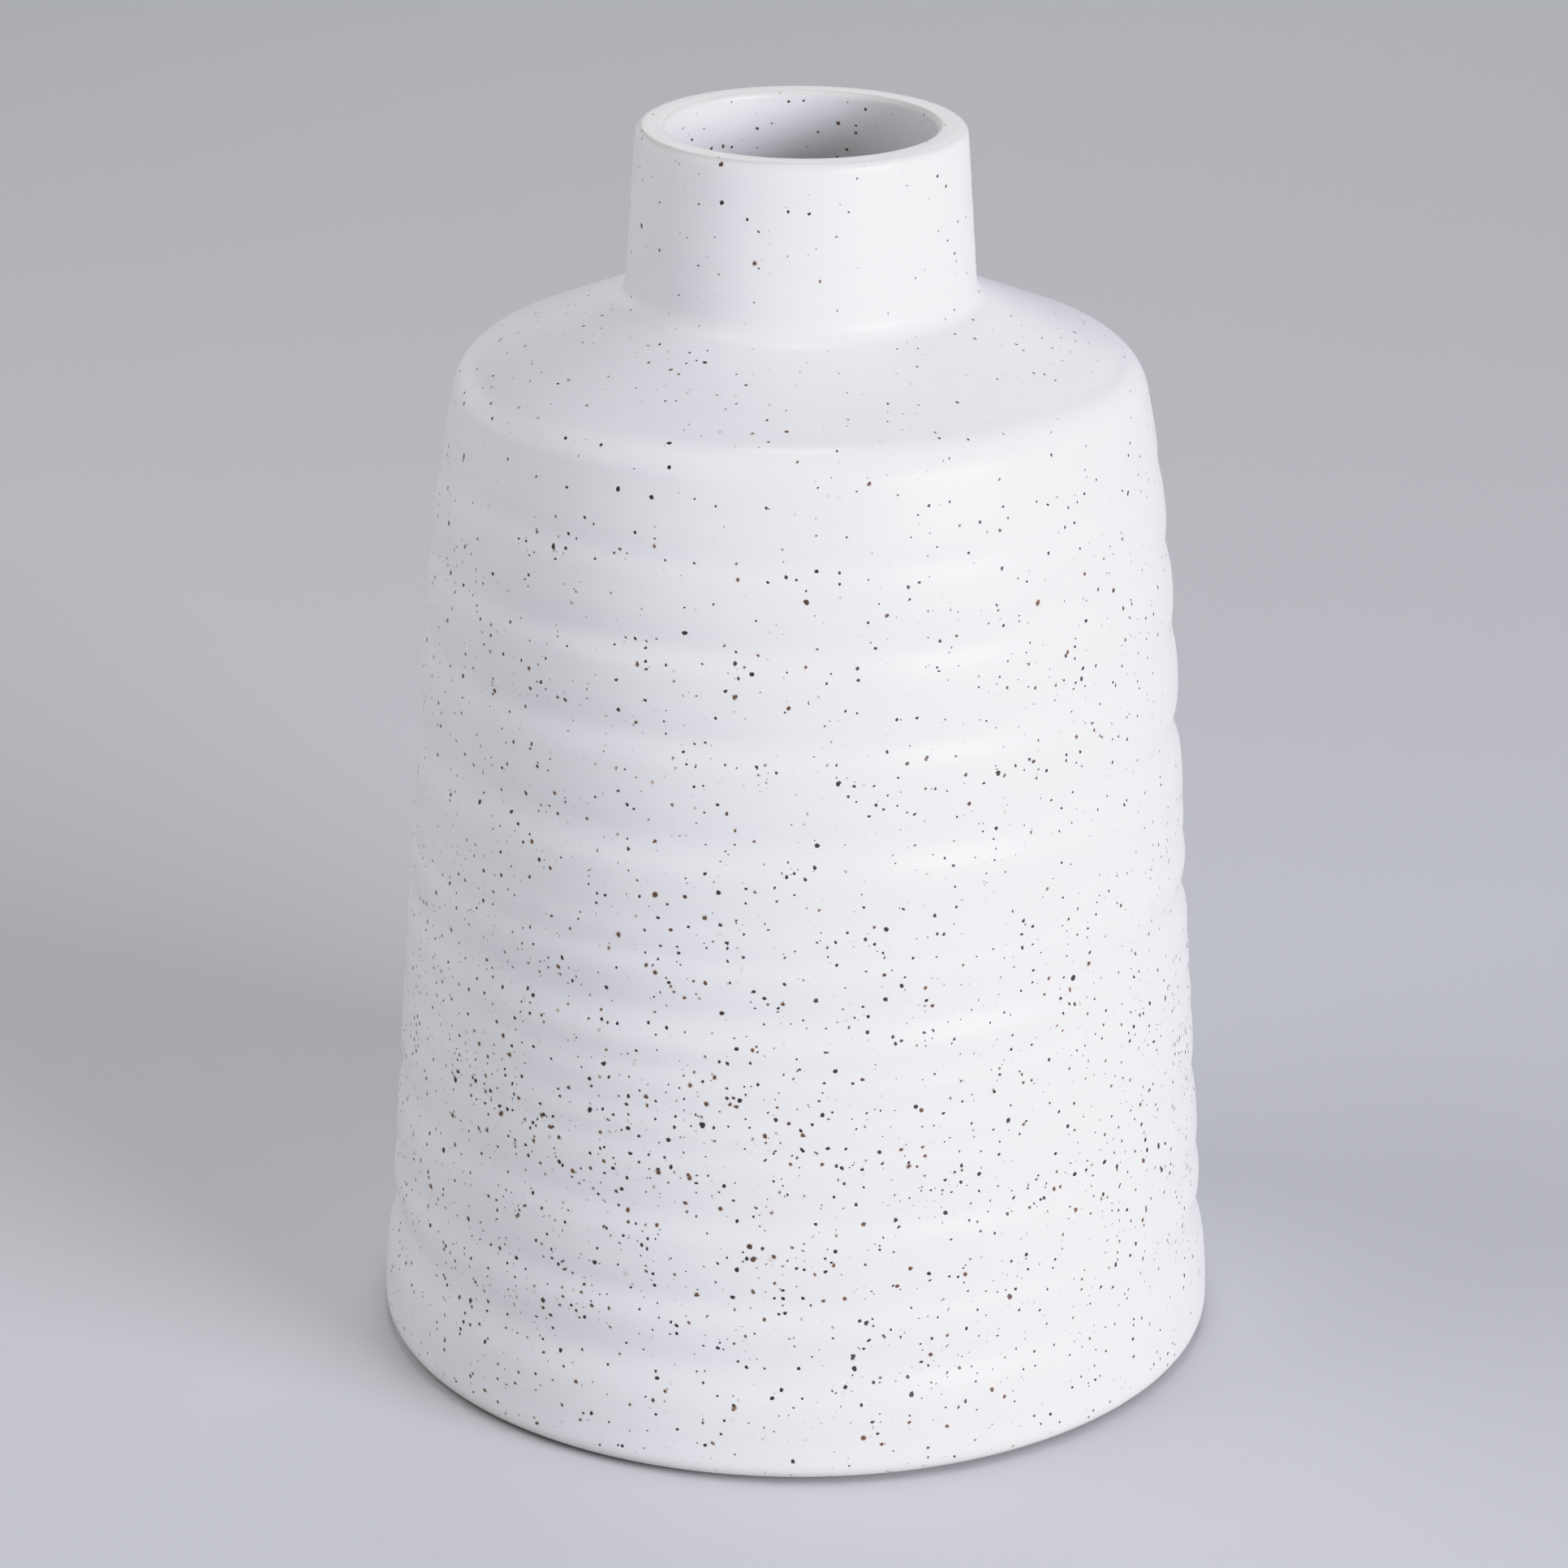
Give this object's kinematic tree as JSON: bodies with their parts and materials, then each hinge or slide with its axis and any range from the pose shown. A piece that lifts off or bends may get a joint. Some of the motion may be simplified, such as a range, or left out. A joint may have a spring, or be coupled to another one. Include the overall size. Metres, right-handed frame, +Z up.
{
  "type": "stoneware vase",
  "caption": "Speckled white stoneware vase with a ringed, gently tapering wall, a shallow domed shoulder and a short collar neck, standing on felt pads.",
  "frame": {"origin": "on the surface the vase stands on, under its axis", "axes": "+Z up along the vase's axis, towards its mouth; X and Y are equivalent"},
  "size_m": [0.2088, 0.2088, 0.305],
  "materials": {
    "glazed_stoneware": "satin white glaze with fine dark iron specks",
    "felt": "dark pressed wool felt"
  },
  "bodies": {
    "root": {"floor_disc": "glazed_stoneware", "body_wall": "glazed_stoneware", "shoulder": "glazed_stoneware", "neck_collar": "glazed_stoneware", "felt_pad_1": "felt", "felt_pad_2": "felt", "felt_pad_3": "felt", "felt_pad_4": "felt"}
  },
  "joints": []
}
